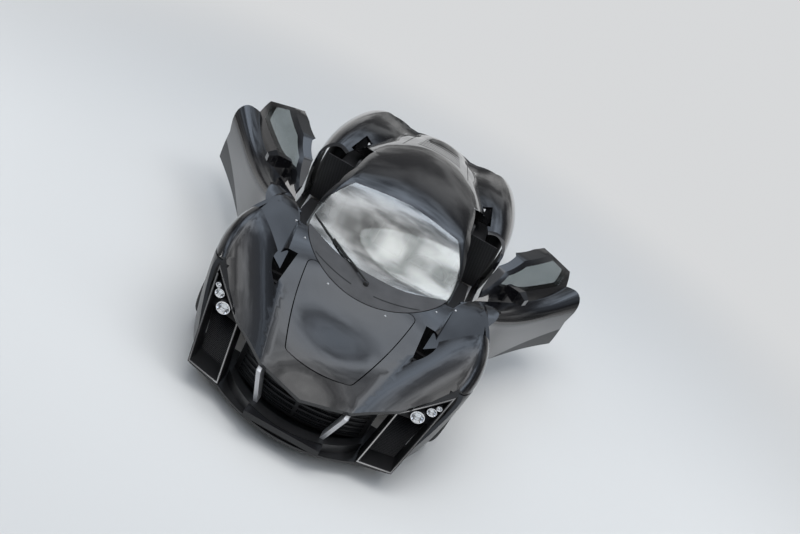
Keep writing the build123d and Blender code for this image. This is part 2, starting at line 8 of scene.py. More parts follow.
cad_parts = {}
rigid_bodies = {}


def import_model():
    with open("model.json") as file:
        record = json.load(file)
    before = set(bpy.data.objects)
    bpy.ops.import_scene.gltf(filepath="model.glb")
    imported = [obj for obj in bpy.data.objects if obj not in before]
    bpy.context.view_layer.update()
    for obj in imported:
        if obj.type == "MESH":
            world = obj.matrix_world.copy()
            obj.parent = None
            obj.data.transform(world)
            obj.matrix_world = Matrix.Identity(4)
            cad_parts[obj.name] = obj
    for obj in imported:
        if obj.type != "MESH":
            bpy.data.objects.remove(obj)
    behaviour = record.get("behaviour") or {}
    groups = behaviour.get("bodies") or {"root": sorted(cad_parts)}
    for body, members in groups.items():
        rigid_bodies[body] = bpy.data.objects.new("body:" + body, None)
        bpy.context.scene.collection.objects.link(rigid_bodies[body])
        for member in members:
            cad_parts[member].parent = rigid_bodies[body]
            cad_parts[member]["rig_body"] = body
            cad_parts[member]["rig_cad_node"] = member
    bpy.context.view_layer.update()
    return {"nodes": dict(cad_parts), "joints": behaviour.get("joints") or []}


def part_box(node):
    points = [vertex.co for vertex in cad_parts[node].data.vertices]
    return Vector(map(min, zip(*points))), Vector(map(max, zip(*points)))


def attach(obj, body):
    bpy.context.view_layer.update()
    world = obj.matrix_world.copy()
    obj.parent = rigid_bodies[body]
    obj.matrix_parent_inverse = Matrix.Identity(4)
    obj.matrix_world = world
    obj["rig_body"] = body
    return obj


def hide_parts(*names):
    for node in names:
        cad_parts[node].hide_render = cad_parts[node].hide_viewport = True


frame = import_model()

nodes = frame["nodes"]
scene = bpy.context.scene
bpy.ops.object.select_all(action="DESELECT")

# Studio: a pale floor that fades into a backdrop of its own colour, under soft light from all round.
# The sky is dark near the ground and a hazy blue-grey overhead, to give the black panels a form to mirror.
scene.view_settings.view_transform = "Standard"
backdrop_grey = (0.68, 0.69, 0.70, 1)
floor_size = 240
floor_drop = 0.001
fade_start, fade_end = 3.0, 8.0
bpy.ops.mesh.primitive_plane_add(size=floor_size, location=(0, 0, -floor_drop))
floor = bpy.context.object
floor.name = "studio_floor"
floor_paint = bpy.data.materials.new("pale_floor")
floor_paint.use_nodes = True
floor_tree = floor_paint.node_tree
floor_shader = floor_tree.nodes["Principled BSDF"]
floor_shader.inputs["Base Color"].default_value = (0.60, 0.60, 0.59, 1)
floor_shader.inputs["Roughness"].default_value = 0.8
floor_place = floor_tree.nodes.new("ShaderNodeTexCoord")
floor_distance = floor_tree.nodes.new("ShaderNodeVectorMath")
floor_distance.operation = "LENGTH"
floor_fade = floor_tree.nodes.new("ShaderNodeMapRange")
floor_fade.interpolation_type = "SMOOTHSTEP"
floor_fade.inputs["From Min"].default_value = fade_start
floor_fade.inputs["From Max"].default_value = fade_end
floor_glow = floor_tree.nodes.new("ShaderNodeEmission")
floor_glow.inputs["Color"].default_value = backdrop_grey
floor_mix = floor_tree.nodes.new("ShaderNodeMixShader")
floor_tree.links.new(floor_place.outputs["Object"], floor_distance.inputs[0])
floor_tree.links.new(floor_distance.outputs["Value"], floor_fade.inputs["Value"])
floor_tree.links.new(floor_fade.outputs["Result"], floor_mix.inputs["Fac"])
floor_tree.links.new(floor_shader.outputs["BSDF"], floor_mix.inputs[1])
floor_tree.links.new(floor_glow.outputs["Emission"], floor_mix.inputs[2])
floor_tree.links.new(floor_mix.outputs["Shader"], floor_tree.nodes["Material Output"].inputs["Surface"])
floor.data.materials.append(floor_paint)

world = bpy.data.worlds.new("studio_sky")
scene.world = world
world.use_nodes = True
sky = world.node_tree
sky.nodes.clear()
sky_out = sky.nodes.new("ShaderNodeOutputWorld")
sky_place = sky.nodes.new("ShaderNodeTexCoord")
sky_split = sky.nodes.new("ShaderNodeSeparateXYZ")
sky_ramp = sky.nodes.new("ShaderNodeValToRGB")
sky_stops = [
    (0.0, (0.26, 0.26, 0.26, 1)),
    (0.48, (0.10, 0.105, 0.11, 1)),
    (0.74, (0.62, 0.72, 0.86, 1)),
    (1.0, (1.05, 1.1, 1.16, 1)),
]
for position, colour in sky_stops:
    stop = sky_ramp.color_ramp.elements.new(position)
    stop.color = colour
sky_ramp.color_ramp.elements.remove(sky_ramp.color_ramp.elements[0])
sky_ramp.color_ramp.elements.remove(sky_ramp.color_ramp.elements[-1])
sky_haze = sky.nodes.new("ShaderNodeTexNoise")
sky_haze.inputs["Scale"].default_value = 3.2
sky_haze.inputs["Detail"].default_value = 5.0
haze_thin, haze_thick = 0.40, 0.62
haze_dim, haze_bright = 0.45, 2.4
sky_depth = sky.nodes.new("ShaderNodeMapRange")
sky_depth.interpolation_type = "SMOOTHSTEP"
sky_depth.inputs["From Min"].default_value = haze_thin
sky_depth.inputs["From Max"].default_value = haze_thick
sky_depth.inputs["To Min"].default_value = haze_dim
sky_depth.inputs["To Max"].default_value = haze_bright
sky_tone = sky.nodes.new("ShaderNodeVectorMath")
sky_tone.operation = "SCALE"
sky_light = sky.nodes.new("ShaderNodeBackground")
sky_seen = sky.nodes.new("ShaderNodeBackground")
sky_seen.inputs["Color"].default_value = backdrop_grey
sky_path = sky.nodes.new("ShaderNodeLightPath")
sky_mix = sky.nodes.new("ShaderNodeMixShader")
sky.links.new(sky_place.outputs["Generated"], sky_split.inputs[0])
sky.links.new(sky_split.outputs["Z"], sky_ramp.inputs["Fac"])
sky.links.new(sky_place.outputs["Generated"], sky_haze.inputs["Vector"])
sky.links.new(sky_haze.outputs["Fac"], sky_depth.inputs["Value"])
sky.links.new(sky_ramp.outputs["Color"], sky_tone.inputs[0])
sky.links.new(sky_depth.outputs["Result"], sky_tone.inputs["Scale"])
sky.links.new(sky_tone.outputs["Vector"], sky_light.inputs["Color"])
sky.links.new(sky_path.outputs["Is Camera Ray"], sky_mix.inputs["Fac"])
sky.links.new(sky_light.outputs["Background"], sky_mix.inputs[1])
sky.links.new(sky_seen.outputs["Background"], sky_mix.inputs[2])
sky.links.new(sky_mix.outputs["Shader"], sky_out.inputs["Surface"])

for lamp_name, spot, aim, size, power in (
    ("overhead_box", (0.4, -1.0, 6.5), (0, -0.4, 0), (6.0, 3.0), 200),
    ("left_box", (6.5, -2.5, 3.2), (0, 0, 0.6), (3.0, 2.0), 90),
    ("right_box", (-6.5, -2.0, 3.2), (0, 0, 0.6), (3.0, 2.0), 90),
):
    lamp_data = bpy.data.lights.new(lamp_name, "AREA")
    lamp_data.shape = "RECTANGLE"
    lamp_data.size, lamp_data.size_y = size
    lamp_data.energy = power
    lamp = bpy.data.objects.new(lamp_name, lamp_data)
    lamp.location = spot
    lamp.rotation_euler = (Vector(aim) - Vector(spot)).to_track_quat("-Z", "Y").to_euler()
    lamp.visible_glossy = lamp_name != "overhead_box"
    scene.collection.objects.link(lamp)

# Camera: held high in front of the nose, looking down and tilted, as the photograph was taken.
# Its place and angles are those that make known points of the car fall where the photograph shows them.
focal_px, image_width_px = 800, 800
eye = Vector((0.0132, -6.1403, 3.4369))
pitch, roll, yaw = (math.radians(a) for a in (26.275, 30.280, 1.561))
ahead = Vector((math.sin(yaw) * math.cos(pitch), math.cos(yaw) * math.cos(pitch), -math.sin(pitch)))
level = Vector((math.cos(yaw), -math.sin(yaw), 0))
downward = ahead.cross(level)
image_x = level * math.cos(roll) - downward * math.sin(roll)
image_y = level * math.sin(roll) + downward * math.cos(roll)
view = bpy.data.cameras.new("view")
view.sensor_width = 36
view.lens = view.sensor_width * focal_px / image_width_px
camera = bpy.data.objects.new("view", view)
camera.matrix_world = Matrix.Translation(eye) @ Matrix((image_x, -image_y, -ahead)).transposed().to_4x4()
scene.collection.objects.link(camera)
scene.camera = camera

# Tub and luggage bay: the moulded carbon composite shell that everything is bolted to, woven in a twill,
# and the plain moulded bin set into its nose.
grain = bpy.data.node_groups.new("fine_grain", "ShaderNodeTree")
grain.interface.new_socket("Scale", in_out="INPUT", socket_type="NodeSocketFloat")
grain.interface.new_socket("Grain", in_out="OUTPUT", socket_type="NodeSocketFloat")
grain_in = grain.nodes.new("NodeGroupInput")
grain_out = grain.nodes.new("NodeGroupOutput")
grain_place = grain.nodes.new("ShaderNodeTexCoord")
grain_noise = grain.nodes.new("ShaderNodeTexNoise")
grain_noise.inputs["Detail"].default_value = 3.0
grain.links.new(grain_place.outputs["Object"], grain_noise.inputs["Vector"])
grain.links.new(grain_in.outputs["Scale"], grain_noise.inputs["Scale"])
grain.links.new(grain_noise.outputs["Fac"], grain_out.inputs["Grain"])
patch_scale = 7.0
grain_depth = 0.0004


def grained_finish(name, colour, roughness, metallic=0.0, fine=600.0, bump=0.15, patchy=0.2):
    """Finish whose colour drifts over a hand's breadth and whose sheen and relief follow a fine grain."""
    finish = bpy.data.materials.new(name)
    finish.use_nodes = True
    tree = finish.node_tree
    shader = tree.nodes["Principled BSDF"]
    shader.inputs["Metallic"].default_value = metallic
    broad = tree.nodes.new("ShaderNodeGroup")
    broad.node_tree = grain
    broad.inputs["Scale"].default_value = patch_scale
    close = tree.nodes.new("ShaderNodeGroup")
    close.node_tree = grain
    close.inputs["Scale"].default_value = fine
    tone = tree.nodes.new("ShaderNodeValToRGB")
    tone.name = "tone"
    tone.color_ramp.elements[0].position = 0.3
    tone.color_ramp.elements[0].color = (*(c * (1 - patchy) for c in colour), 1)
    tone.color_ramp.elements[1].position = 0.7
    tone.color_ramp.elements[1].color = (*(c * (1 + patchy) for c in colour), 1)
    sheen = tree.nodes.new("ShaderNodeMapRange")
    sheen.inputs["To Min"].default_value = roughness * 0.8
    sheen.inputs["To Max"].default_value = min(1.0, roughness * 1.2)
    relief = tree.nodes.new("ShaderNodeBump")
    relief.name = "relief"
    relief.inputs["Strength"].default_value = bump
    relief.inputs["Distance"].default_value = grain_depth
    tree.links.new(broad.outputs["Grain"], tone.inputs["Fac"])
    tree.links.new(tone.outputs["Color"], shader.inputs["Base Color"])
    tree.links.new(close.outputs["Grain"], sheen.inputs["Value"])
    tree.links.new(sheen.outputs["Result"], shader.inputs["Roughness"])
    tree.links.new(close.outputs["Grain"], relief.inputs["Height"])
    tree.links.new(relief.outputs["Normal"], shader.inputs["Normal"])
    return finish


def dress(finish, *names):
    """Gives CAD nodes a finish."""
    for node_name in names:
        mesh = nodes[node_name].data
        mesh.materials.clear()
        mesh.materials.append(finish)


carbon = grained_finish("twill_carbon", (0.02, 0.02, 0.021), 0.35)
carbon_tree = carbon.node_tree
carbon_shader = carbon_tree.nodes["Principled BSDF"]
carbon_place = carbon_tree.nodes.new("ShaderNodeTexCoord")
carbon_turn = carbon_tree.nodes.new("ShaderNodeMapping")
weave_turn = (0.6, 0.5, math.radians(45))
weave_scale = 160.0
carbon_turn.inputs["Rotation"].default_value = weave_turn
carbon_check = carbon_tree.nodes.new("ShaderNodeTexChecker")
carbon_check.inputs["Scale"].default_value = weave_scale
carbon_check.inputs["Color1"].default_value = (0.012, 0.012, 0.013, 1)
carbon_check.inputs["Color2"].default_value = (0.04, 0.04, 0.042, 1)
carbon_tree.links.new(carbon_place.outputs["Object"], carbon_turn.inputs["Vector"])
carbon_tree.links.new(carbon_turn.outputs["Vector"], carbon_check.inputs["Vector"])
carbon_tree.links.new(carbon_check.outputs["Color"], carbon_shader.inputs["Base Color"])
dress(carbon, "tub")
bin_plastic = grained_finish("moulded_bin", (0.02, 0.02, 0.021), 0.6, fine=900.0, bump=0.4)
dress(bin_plastic, "luggage_bay")

# Engine and running gear: cast alloy block, forged knuckles and uprights, and flat steel wishbones,
# left as cast and a little dusty.
cast_alloy = grained_finish(
    "cast_alloy", (0.22, 0.22, 0.23), 0.5, metallic=1.0, fine=350.0, bump=0.5, patchy=0.3
)
dress(cast_alloy, "engine_block", "knuckle_left", "knuckle_right", "rear_uprights")
arm_steel = grained_finish("coated_steel", (0.05, 0.05, 0.052), 0.45, metallic=0.6, fine=500.0, bump=0.3)
dress(arm_steel, "suspension_links")

# Wheels: forged rims in dark satin metal, and rubber tyres with grooved treads and blocked shoulders.
# Each tyre is turned ring by ring from the bead over the tread to the other bead.
rim_metal = grained_finish("dark_rim", (0.09, 0.09, 0.095), 0.3, metallic=1.0, fine=800.0, bump=0.05)
rubber = grained_finish("tyre_rubber", (0.016, 0.016, 0.016), 0.75, fine=700.0, bump=0.4)


def turned(name, steps, segments, finish):
    """Shell turned about the X axis through (along, radius) steps."""
    along, radius = steps[0]
    bpy.ops.object.select_all(action="DESELECT")
    bpy.ops.mesh.primitive_circle_add(
        vertices=segments, radius=radius, location=(along, 0, 0), rotation=(0, math.pi / 2, 0)
    )
    shell = bpy.context.object
    shell.name = name
    bpy.ops.object.transform_apply(location=True, rotation=True, scale=True)
    bpy.ops.object.mode_set(mode="EDIT")
    bpy.ops.mesh.select_mode(type="VERT")
    bpy.ops.mesh.select_all(action="SELECT")
    for next_along, next_radius in steps[1:]:
        bpy.ops.mesh.extrude_region_move(TRANSFORM_OT_translate={"value": (next_along - along, 0, 0)})
        grow = next_radius / radius
        bpy.ops.transform.resize(value=(1, grow, grow), center_override=(next_along, 0, 0))
        along, radius = next_along, next_radius
    bpy.ops.mesh.select_all(action="SELECT")
    bpy.ops.mesh.remove_doubles(threshold=0.00005)
    bpy.ops.mesh.normals_make_consistent(inside=False)
    bpy.ops.object.mode_set(mode="OBJECT")
    shell.data.materials.append(finish)
    bpy.ops.object.shade_smooth_by_angle(angle=math.radians(35))
    shell.select_set(False)
    return shell


def set_down(piece, place, body):
    """Puts a finished mesh in its place on a body."""
    piece.data.transform(place)
    if place.determinant() < 0:
        piece.data.flip_normals()
    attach(piece, body)


def own_copy(piece, name):
    """Copy of a piece with a mesh of its own."""
    copy = piece.copy()
    copy.data = piece.data.copy()
    copy.name = name
    scene.collection.objects.link(copy)
    return copy


pole = 0.00002
mirrored = Matrix.Diagonal((-1, 1, 1, 1))
tread_segments = 96
bead_clearance = 0.0005
shoulder_run = 0.03
groove_depth = 0.007
groove_half = 0.005
groove_slant = 0.001
groove_spread = 0.62
block_start = 0.64
block_margin = 0.008
block_reach = 0.012
block_pitch = 3
block_border = 0.002
block_depth = 0.004
for end in ("front", "rear"):
    tyre_low, tyre_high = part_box(f"{end}_tyre_left")
    rim_low, rim_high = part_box(f"{end}_rim_left")
    hub = (tyre_low + tyre_high) / 2
    tyre_radius = (tyre_high.z - tyre_low.z) / 2
    bead_radius = (rim_high.z - rim_low.z) / 2 + bead_clearance
    half = (tyre_high.x - tyre_low.x) / 2
    wall = tyre_radius - bead_radius
    tread_half = half - shoulder_run
    side_wall = [
        (-half + 0.012, bead_radius),
        (-half + 0.002, bead_radius + 0.22 * wall),
        (-half, bead_radius + 0.5 * wall),
        (-half + 0.006, bead_radius + 0.75 * wall),
        (-half + 0.016, tyre_radius - 0.009),
        (-tread_half, tyre_radius - 0.001),
    ]
    steps = list(side_wall)
    for groove in (-1, 0, 1):
        middle = groove * tread_half * groove_spread
        steps += [
            (middle - groove_half, tyre_radius),
            (middle - groove_half + groove_slant, tyre_radius - groove_depth),
            (middle + groove_half - groove_slant, tyre_radius - groove_depth),
            (middle + groove_half, tyre_radius),
        ]
    steps += [(-along, radius) for along, radius in reversed(side_wall)]
    steps.append(steps[0])
    tyre = turned(f"{end}_tyre_left_tread", steps, tread_segments, rubber)
    bpy.ops.object.select_all(action="DESELECT")
    bpy.context.view_layer.objects.active = tyre
    tyre.select_set(True)
    for face in tyre.data.polygons:
        turn = math.atan2(face.center.y, face.center.z) / math.tau * tread_segments
        shoulder = tread_half * block_start < abs(face.center.x) < half - block_margin
        outer = math.hypot(face.center.y, face.center.z) > tyre_radius - block_reach
        face.select = shoulder and outer and math.floor(turn) % block_pitch == 0
    bpy.ops.object.mode_set(mode="EDIT")
    bpy.ops.mesh.select_mode(type="FACE")
    bpy.ops.mesh.inset(thickness=block_border, use_individual=False)
    bpy.ops.transform.shrink_fatten(value=-block_depth)
    bpy.ops.object.mode_set(mode="OBJECT")
    tyre.select_set(False)
    fellow = own_copy(tyre, f"{end}_tyre_right_tread")
    for piece, flank, place in (
        (tyre, "left", Matrix.Translation(hub)),
        (fellow, "right", mirrored @ Matrix.Translation(hub)),
    ):
        set_down(piece, place, f"{end}_wheel_{flank}")
        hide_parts(f"{end}_tyre_{flank}")
        dress(rim_metal, f"{end}_rim_{flank}")


# Seats: foam cushions in fine dark leather on the tub's floor, with raised bolsters and cross-sewn channels.
# The plain solids are rounded into one soft skin.
def loose_copy(node_name, name):
    """Copy of a CAD node's mesh with its triangles joined."""
    copy = nodes[node_name].copy()
    copy.data = nodes[node_name].data.copy()
    copy.name = name
    copy.parent = None
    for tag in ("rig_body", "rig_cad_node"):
        if tag in copy:
            del copy[tag]
    scene.collection.objects.link(copy)
    copy.hide_viewport = False
    copy.hide_render = False
    copy.hide_set(False)
    bpy.ops.object.select_all(action="DESELECT")
    bpy.context.view_layer.objects.active = copy
    copy.select_set(True)
    bpy.ops.object.mode_set(mode="EDIT")
    bpy.ops.mesh.select_mode(type="FACE")
    bpy.ops.mesh.select_all(action="SELECT")
    bpy.ops.mesh.remove_doubles(threshold=0.00005)
    bpy.ops.mesh.customdata_custom_splitnormals_clear()
    bpy.ops.object.mode_set(mode="OBJECT")
    return copy


leather = grained_finish("seat_leather", (0.022, 0.022, 0.023), 0.5, fine=420.0, bump=0.5)
leather_tree = leather.node_tree
channel_scale = 3.2
channel_depth = 0.006
sewn = leather_tree.nodes.new("ShaderNodeTexWave")
sewn.bands_direction = "Y"
sewn.inputs["Scale"].default_value = channel_scale
sewn.wave_profile = "SIN"
sewn_place = leather_tree.nodes.new("ShaderNodeTexCoord")
sewn_relief = leather_tree.nodes.new("ShaderNodeBump")
sewn_relief.inputs["Strength"].default_value = 0.5
sewn_relief.inputs["Distance"].default_value = channel_depth
leather_tree.links.new(sewn_place.outputs["Object"], sewn.inputs["Vector"])
leather_tree.links.new(sewn.outputs["Fac"], sewn_relief.inputs["Height"])
leather_tree.links.new(leather_tree.nodes["relief"].outputs["Normal"], sewn_relief.inputs["Normal"])
leather_tree.links.new(sewn_relief.outputs["Normal"], leather_tree.nodes["Principled BSDF"].inputs["Normal"])
cushions = loose_copy("seats", "seat_cushions")
cushions.data.remesh_voxel_size = 0.010
bpy.ops.object.voxel_remesh()
softening = cushions.modifiers.new("softening", "SMOOTH")
softening.factor = 0.6
softening.iterations = 14
bpy.ops.object.modifier_apply(modifier="softening")
bpy.ops.object.shade_smooth()
cushions.data.materials.clear()
cushions.data.materials.append(leather)
cushions.select_set(False)
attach(cushions, "car")
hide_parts("seats")

# Dashboard and steering wheel: a moulded fascia with a soft grained skin, and a leather-bound wheel rim
# whose column passes through a bore of the fascia.
soft_skin = grained_finish("dash_skin", (0.02, 0.02, 0.021), 0.65, fine=550.0, bump=0.5)
dress(soft_skin, "dashboard")
bound_rim = grained_finish("bound_rim", (0.015, 0.015, 0.016), 0.5, fine=480.0, bump=0.5)
dress(bound_rim, "steering_wheel")

# Bumper, splitter, skirts and tail panels: moulded in satin black with a fine texture, and the blank dark
# strip in front where a number plate would be.
satin = grained_finish("satin_black_moulding", (0.012, 0.012, 0.0125), 0.38, fine=1200.0, bump=0.12)
satin.node_tree.nodes["Principled BSDF"].inputs["Coat Weight"].default_value = 0.2
dress(
    satin, "front_bumper", "side_skirt_left", "side_skirt_right", "rear_fascia", "diffuser",
    "front_corner_left", "front_corner_right", "intake_frame_left", "intake_frame_right",
)
blank_strip = grained_finish("blank_strip", (0.008, 0.008, 0.009), 0.3, fine=1500.0, bump=0.05)
dress(blank_strip, "plate_strip")

# Grille: dark slatted mouth with two slanted struts of brushed metal and a woven wire mesh behind it.
# The mesh is a bent grid thickened into wires. The struts are told by standing proud of the slats' arc.
def plan_distance(tree, centre_y):
    """Socket with the distance in plan from a point of the centre line."""
    place = tree.nodes.new("ShaderNodeTexCoord")
    centre = tree.nodes.new("ShaderNodeMapping")
    centre.inputs["Location"].default_value = (0, -centre_y, 0)
    centre.inputs["Scale"].default_value = (1, 1, 0)
    distance = tree.nodes.new("ShaderNodeVectorMath")
    distance.operation = "LENGTH"
    tree.links.new(place.outputs["Object"], centre.inputs["Vector"])
    tree.links.new(centre.outputs["Vector"], distance.inputs[0])
    return distance.outputs["Value"]


def recolour(tree, mask, colour):
    """Turns a finish to a second colour where the mask is 1."""
    blend = tree.nodes.new("ShaderNodeMix")
    blend.data_type = "RGBA"
    blend.inputs["B"].default_value = colour
    tree.links.new(mask, blend.inputs["Factor"])
    tree.links.new(tree.nodes["tone"].outputs["Color"], blend.inputs["A"])
    tree.links.new(blend.outputs["Result"], tree.nodes["Principled BSDF"].inputs["Base Color"])


grille_metal = grained_finish("grille_metal", (0.03, 0.03, 0.031), 0.4, metallic=0.7, fine=900.0)
grille_tree = grille_metal.node_tree
grille_arc_radius = 0.752
grille_arc_y = -1.413
strut_stand = 0.003
strut_mask = grille_tree.nodes.new("ShaderNodeMath")
strut_mask.operation = "GREATER_THAN"
strut_mask.inputs[1].default_value = grille_arc_radius + strut_stand
grille_tree.links.new(plan_distance(grille_tree, grille_arc_y), strut_mask.inputs[0])
recolour(grille_tree, strut_mask.outputs["Value"], (0.55, 0.55, 0.56, 1))
dress(grille_metal, "grille")
mesh_setback = 0.008
mesh_half = 0.44
mesh_low, mesh_high = 0.20, 0.385
bpy.ops.object.select_all(action="DESELECT")
bpy.ops.mesh.primitive_grid_add(x_subdivisions=70, y_subdivisions=16, size=2)
wire_mesh = bpy.context.object
wire_mesh.name = "grille_wire_mesh"
for point in wire_mesh.data.vertices:
    across = point.co.x * mesh_half
    height = mesh_low + (point.co.y + 1) / 2 * (mesh_high - mesh_low)
    back = grille_arc_y - math.sqrt((grille_arc_radius - mesh_setback) ** 2 - across**2)
    point.co = (across, back, height)
wires = wire_mesh.modifiers.new("wires", "WIREFRAME")
wires.thickness = 0.003
bpy.ops.object.modifier_apply(modifier="wires")
wire_black = grained_finish("wire_black", (0.01, 0.01, 0.011), 0.4, metallic=0.5)
wire_mesh.data.materials.append(wire_black)
wire_mesh.select_set(False)
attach(wire_mesh, "car")


# Intake frames: satin mouldings round the slanted mouths, edged with a thin bright metal strip
# that is bonded to the frame's front face.
def plate_from(node_name, name, chosen, border, thickness, finish):
    """Thin plate over the chosen faces of a CAD node, drawn in from their edge by border."""
    plate = loose_copy(node_name, name)
    for face in plate.data.polygons:
        face.select = not chosen(face)
    bpy.ops.object.mode_set(mode="EDIT")
    bpy.ops.mesh.delete(type="FACE")
    bpy.ops.mesh.select_all(action="SELECT")
    bpy.ops.mesh.dissolve_limited(angle_limit=math.radians(1))
    bpy.ops.mesh.select_all(action="SELECT")
    bpy.ops.mesh.inset(thickness=border, use_boundary=True)
    bpy.ops.mesh.select_all(action="INVERT")
    bpy.ops.mesh.delete(type="FACE")
    bpy.ops.object.mode_set(mode="OBJECT")
    wall = plate.modifiers.new("wall", "SOLIDIFY")
    wall.thickness = thickness
    wall.offset = 1
    bpy.ops.object.modifier_apply(modifier="wall")
    plate.data.materials.clear()
    plate.data.materials.append(finish)
    bpy.ops.object.shade_smooth_by_angle(angle=math.radians(30))
    plate.select_set(False)
    return plate


bright_strip = grained_finish(
    "bright_strip", (0.72, 0.72, 0.73), 0.18, metallic=1.0, fine=900.0, bump=0.05, patchy=0.05
)
strip_inset = 0.0045
strip_thickness = 0.0012
front_facing = -0.75
for flank in ("left", "right"):
    edge = plate_from(
        f"intake_frame_{flank}", f"intake_edge_{flank}",
        lambda face: face.normal.y < front_facing, strip_inset, strip_thickness, bright_strip,
    )
    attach(edge, "car")

# Intake coolers: a corrugated core of thin black metal fins closes the back of each mouth under the lamps.
# A grid is stretched between four corners and every second row is set back.
core_corners = [
    Vector((0.515, -2.019, 0.150)), Vector((0.715, -1.983, 0.170)),
    Vector((0.574, -1.892, 0.430)), Vector((0.785, -1.836, 0.430)),
]
fin_rows = 60
fin_depth = 0.006
fin_thickness = 0.002
for flank, side in (("left", 1), ("right", -1)):
    bpy.ops.object.select_all(action="DESELECT")
    bpy.ops.mesh.primitive_grid_add(x_subdivisions=8, y_subdivisions=fin_rows, size=2)
    core = bpy.context.object
    core.name = f"intake_core_{flank}"
    for point in core.data.vertices:
        u, v = (point.co.x + 1) / 2, (point.co.y + 1) / 2
        foot = core_corners[0].lerp(core_corners[1], u)
        head = core_corners[2].lerp(core_corners[3], u)
        spot = foot.lerp(head, v)
        spot.y += fin_depth * (round(v * fin_rows) % 2)
        point.co = (side * spot.x, spot.y, spot.z)
    fin_wall = core.modifiers.new("fin_wall", "SOLIDIFY")
    fin_wall.thickness = fin_thickness
    bpy.ops.object.modifier_apply(modifier="fin_wall")
    bpy.ops.object.mode_set(mode="EDIT")
    bpy.ops.mesh.select_all(action="SELECT")
    bpy.ops.mesh.normals_make_consistent(inside=False)
    bpy.ops.object.mode_set(mode="OBJECT")
    core.data.materials.append(wire_black)
    core.select_set(False)
    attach(core, "car")

# Headlamps: a black housing with three barrels, each hollowed into a chrome reflector, with a glass
# projector lens in the hollow.
housing_black = grained_finish("lamp_housing", (0.012, 0.012, 0.013), 0.35)
chrome = grained_finish(
    "lamp_chrome", (0.85, 0.85, 0.86), 0.07, metallic=1.0, fine=400.0, bump=0.02, patchy=0.03
)
lamp_glass = grained_finish("lamp_glass", (0.93, 0.95, 0.96), 0.03, fine=200.0, bump=0.01, patchy=0.02)
lamp_glass.node_tree.nodes["Principled BSDF"].inputs["Transmission Weight"].default_value = 1.0
lamp_rows = [("main", 0.706, 0.500, 0.046), ("second", 0.772, 0.556, 0.032), ("third", 0.804, 0.590, 0.019)]
lip_share, bowl_share, lens_share = 0.10, 0.70, 0.68
bowl_taper = 0.62
chrome_reach, chrome_depth = 0.99, 0.72
square_on = -0.99
forward = Matrix.Rotation(-math.pi / 2, 4, "Z")
for flank, side in (("left", 1), ("right", -1)):
    lamp_body = loose_copy(f"headlamp_{flank}", f"headlamp_{flank}_dressed")
    lamp_body.data.materials.clear()
    lamp_body.data.materials.append(housing_black)
    lamp_body.data.materials.append(chrome)
    bpy.ops.object.mode_set(mode="EDIT")
    bpy.ops.mesh.select_all(action="SELECT")
    bpy.ops.mesh.dissolve_limited(angle_limit=math.radians(1))
    bpy.ops.object.mode_set(mode="OBJECT")
    mouths = []
    for _, lamp_x, lamp_z, radius in lamp_rows:
        fronts = [face for face in lamp_body.data.polygons if face.normal.y < square_on]
        disc = min(fronts, key=lambda face: math.hypot(face.center.x - side * lamp_x, face.center.z - lamp_z))
        mouth = Vector((side * lamp_x, disc.center.y, lamp_z))
        mouths.append(mouth)
        for face in lamp_body.data.polygons:
            face.select = face.index == disc.index
        bpy.ops.object.mode_set(mode="EDIT")
        bpy.ops.mesh.inset(thickness=radius * lip_share)
        bpy.ops.mesh.extrude_region_move(TRANSFORM_OT_translate={"value": (0, radius * bowl_share, 0)})
        bpy.ops.transform.resize(value=(bowl_taper, 1, bowl_taper), center_override=mouth)
        bpy.ops.object.mode_set(mode="OBJECT")
        for face in lamp_body.data.polygons:
            off_x, off_y, off_z = face.center - mouth
            if math.hypot(off_x, off_z) < radius * chrome_reach and off_y < radius * chrome_depth:
                face.material_index = 1
    bpy.ops.object.shade_smooth_by_angle(angle=math.radians(30))
    lamp_body.select_set(False)
    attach(lamp_body, "car")
    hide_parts(f"headlamp_{flank}")
    for (lamp_name, _, _, radius), mouth in zip(lamp_rows, mouths):
        lens_steps = [
            (0.0, pole),
            (0.0, radius * 0.5),
            (radius * 0.14, radius * 0.48),
            (radius * 0.26, radius * 0.38),
            (radius * 0.33, radius * 0.22),
            (radius * 0.35, radius * 0.02),
            (radius * 0.35, pole),
        ]
        lens = turned(f"projector_{lamp_name}_{flank}", lens_steps, 32, lamp_glass)
        seat = mouth + Vector((0, radius * lens_share, 0))
        set_down(lens, Matrix.Translation(seat) @ forward, "car")

# Painted panels: moulded composite skins in gloss black under a clear coat, hung on the tub.
# Their triangles are joined, so that reflections run unbroken across each skin.
gloss = grained_finish("gloss_black_paint", (0.004, 0.004, 0.005), 0.25, fine=250.0, bump=0.008, patchy=0.1)
gloss_shader = gloss.node_tree.nodes["Principled BSDF"]
gloss_shader.inputs["Specular IOR Level"].default_value = 0.1
gloss_shader.inputs["Coat Weight"].default_value = 1.0
gloss_shader.inputs["Coat Roughness"].default_value = 0.03
gloss_shader.inputs["Coat IOR"].default_value = 1.6
for panel, panel_body in (
    ("front_clamshell", "car"), ("front_lid", "front_lid"), ("roof_shell", "car"), ("rear_clamshell", "car"),
    ("engine_cover", "engine_cover"), ("mirror_left", "door_left"), ("mirror_right", "door_right"),
):
    skin = loose_copy(panel, f"{panel}_skin")
    bpy.ops.object.shade_smooth_by_angle(angle=math.radians(30))
    skin.data.materials.clear()
    skin.data.materials.append(gloss)
    skin.select_set(False)
    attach(skin, panel_body)
    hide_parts(panel)


